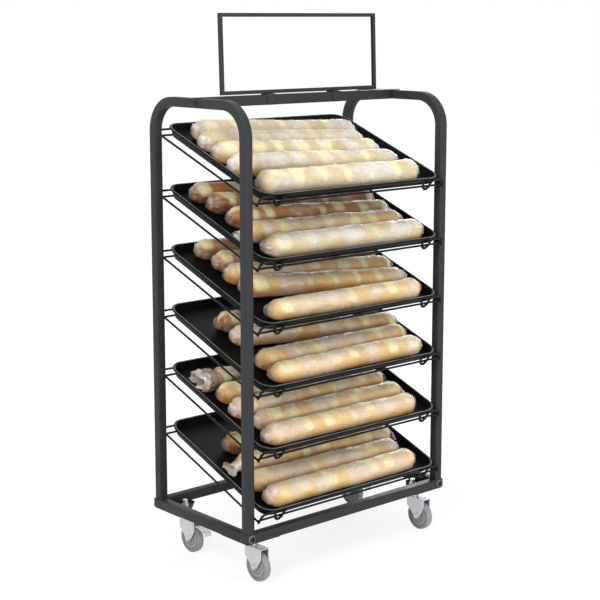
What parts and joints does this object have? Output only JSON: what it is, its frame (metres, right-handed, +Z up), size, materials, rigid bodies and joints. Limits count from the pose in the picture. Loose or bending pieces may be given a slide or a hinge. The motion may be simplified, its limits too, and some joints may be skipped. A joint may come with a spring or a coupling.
{
  "type": "bakery bread rack",
  "caption": "Mobile bakery rack: two bent tube side frames on a caster base carry sloping wire cradles with sheet pans of bagged loaves, under an empty sign holder.",
  "frame": {"origin": "on the floor, under the middle of the rack's outline", "axes": "+X to the rack's right seen from the front, +Y to its back, +Z up"},
  "size_m": [0.75, 0.4454, 1.5022],
  "materials": {
    "powder_coat": "satin",
    "screw_steel": "satin",
    "zinc_plate": "satin",
    "grey_rubber": "matte",
    "pan_steel": "satin",
    "bagged_bread": "gloss"
  },
  "bodies": {
    "rack": {"side_frame_left": "powder_coat", "side_frame_right": "powder_coat", "base_rail_front": "powder_coat", "base_rail_rear": "powder_coat", "base_rail_left": "powder_coat", "base_rail_right": "powder_coat", "corner_sockets": "powder_coat", "gusset_front_left": "powder_coat", "gusset_front_right": "powder_coat", "gusset_rear_right": "powder_coat", "gusset_rear_left": "powder_coat", "corner_screws": "screw_steel", "cross_bar": "powder_coat", "cross_bar_screws": "screw_steel", "sign_clip_left": "powder_coat", "sign_clip_right": "powder_coat", "sign_frame": "powder_coat", "shelf_cradle_1": "powder_coat", "shelf_cradle_2": "powder_coat", "shelf_cradle_3": "powder_coat", "shelf_cradle_4": "powder_coat", "shelf_cradle_5": "powder_coat", "shelf_cradle_6": "powder_coat", "caster_stems": "zinc_plate", "caster_nuts": "zinc_plate"},
    "swivel_front_left": {"caster_fork_front_left": "zinc_plate"},
    "wheel_front_left": {"caster_wheel_front_left": "grey_rubber"},
    "swivel_front_right": {"caster_fork_front_right": "zinc_plate"},
    "wheel_front_right": {"caster_wheel_front_right": "grey_rubber"},
    "swivel_rear_right": {"caster_fork_rear_right": "zinc_plate"},
    "wheel_rear_right": {"caster_wheel_rear_right": "grey_rubber"},
    "pedal_rear_right": {"brake_pedal_rear_right": "zinc_plate"},
    "swivel_rear_left": {"caster_fork_rear_left": "zinc_plate"},
    "wheel_rear_left": {"caster_wheel_rear_left": "grey_rubber"},
    "pedal_rear_left": {"brake_pedal_rear_left": "zinc_plate"},
    "pan_1": {"tray_1": "pan_steel", "bread_1": "bagged_bread"},
    "pan_2": {"tray_2": "pan_steel", "bread_2": "bagged_bread"},
    "pan_3": {"tray_3": "pan_steel", "bread_3": "bagged_bread"},
    "pan_4": {"tray_4": "pan_steel", "bread_4": "bagged_bread"},
    "pan_5": {"tray_5": "pan_steel", "bread_5": "bagged_bread"},
    "pan_6": {"tray_6": "pan_steel", "bread_6": "bagged_bread"}
  },
  "joints": [
    {"name": "swivel_front_left", "type": "hinge", "parent": "rack", "child": "swivel_front_left", "pos_m": [-0.31, -0.13728, 0.095], "axis": [0, 0, 1], "continuous": true},
    {"name": "roll_front_left", "type": "hinge", "parent": "swivel_front_left", "child": "wheel_front_left", "pos_m": [-0.31, -0.16928, 0.0415], "axis": [1, 0, 0], "continuous": true},
    {"name": "swivel_front_right", "type": "hinge", "parent": "rack", "child": "swivel_front_right", "pos_m": [0.31, -0.13728, 0.095], "axis": [0, 0, 1], "continuous": true},
    {"name": "roll_front_right", "type": "hinge", "parent": "swivel_front_right", "child": "wheel_front_right", "pos_m": [0.31, -0.16928, 0.0415], "axis": [1, 0, 0], "continuous": true},
    {"name": "swivel_rear_right", "type": "hinge", "parent": "rack", "child": "swivel_rear_right", "pos_m": [0.31, 0.15472, 0.095], "axis": [0, 0, 1], "continuous": true},
    {"name": "roll_rear_right", "type": "hinge", "parent": "swivel_rear_right", "child": "wheel_rear_right", "pos_m": [0.31, 0.12272, 0.0415], "axis": [1, 0, 0], "continuous": true},
    {"name": "pedal_rear_right", "type": "hinge", "parent": "swivel_rear_right", "child": "pedal_rear_right", "pos_m": [0.31, 0.10472, 0.085], "axis": [1, 0, 0], "range_deg": [0, 12]},
    {"name": "swivel_rear_left", "type": "hinge", "parent": "rack", "child": "swivel_rear_left", "pos_m": [-0.31, 0.15472, 0.095], "axis": [0, 0, 1], "continuous": true},
    {"name": "roll_rear_left", "type": "hinge", "parent": "swivel_rear_left", "child": "wheel_rear_left", "pos_m": [-0.31, 0.12272, 0.0415], "axis": [1, 0, 0], "continuous": true},
    {"name": "pedal_rear_left", "type": "hinge", "parent": "swivel_rear_left", "child": "pedal_rear_left", "pos_m": [-0.31, 0.10472, 0.085], "axis": [1, 0, 0], "range_deg": [0, 12]},
    {"name": "pan_lift_1", "type": "slide", "parent": "rack", "child": "pan_1", "axis": [0, -0.3502, 0.9367], "range_m": [0, 0.045]},
    {"name": "pan_lift_2", "type": "slide", "parent": "rack", "child": "pan_2", "axis": [0, -0.3502, 0.9367], "range_m": [0, 0.045]},
    {"name": "pan_lift_3", "type": "slide", "parent": "rack", "child": "pan_3", "axis": [0, -0.3502, 0.9367], "range_m": [0, 0.045]},
    {"name": "pan_lift_4", "type": "slide", "parent": "rack", "child": "pan_4", "axis": [0, -0.3502, 0.9367], "range_m": [0, 0.045]},
    {"name": "pan_lift_5", "type": "slide", "parent": "rack", "child": "pan_5", "axis": [0, -0.3502, 0.9367], "range_m": [0, 0.045]},
    {"name": "pan_lift_6", "type": "slide", "parent": "rack", "child": "pan_6", "axis": [0, -0.3502, 0.9367], "range_m": [0, 0.045]}
  ]
}
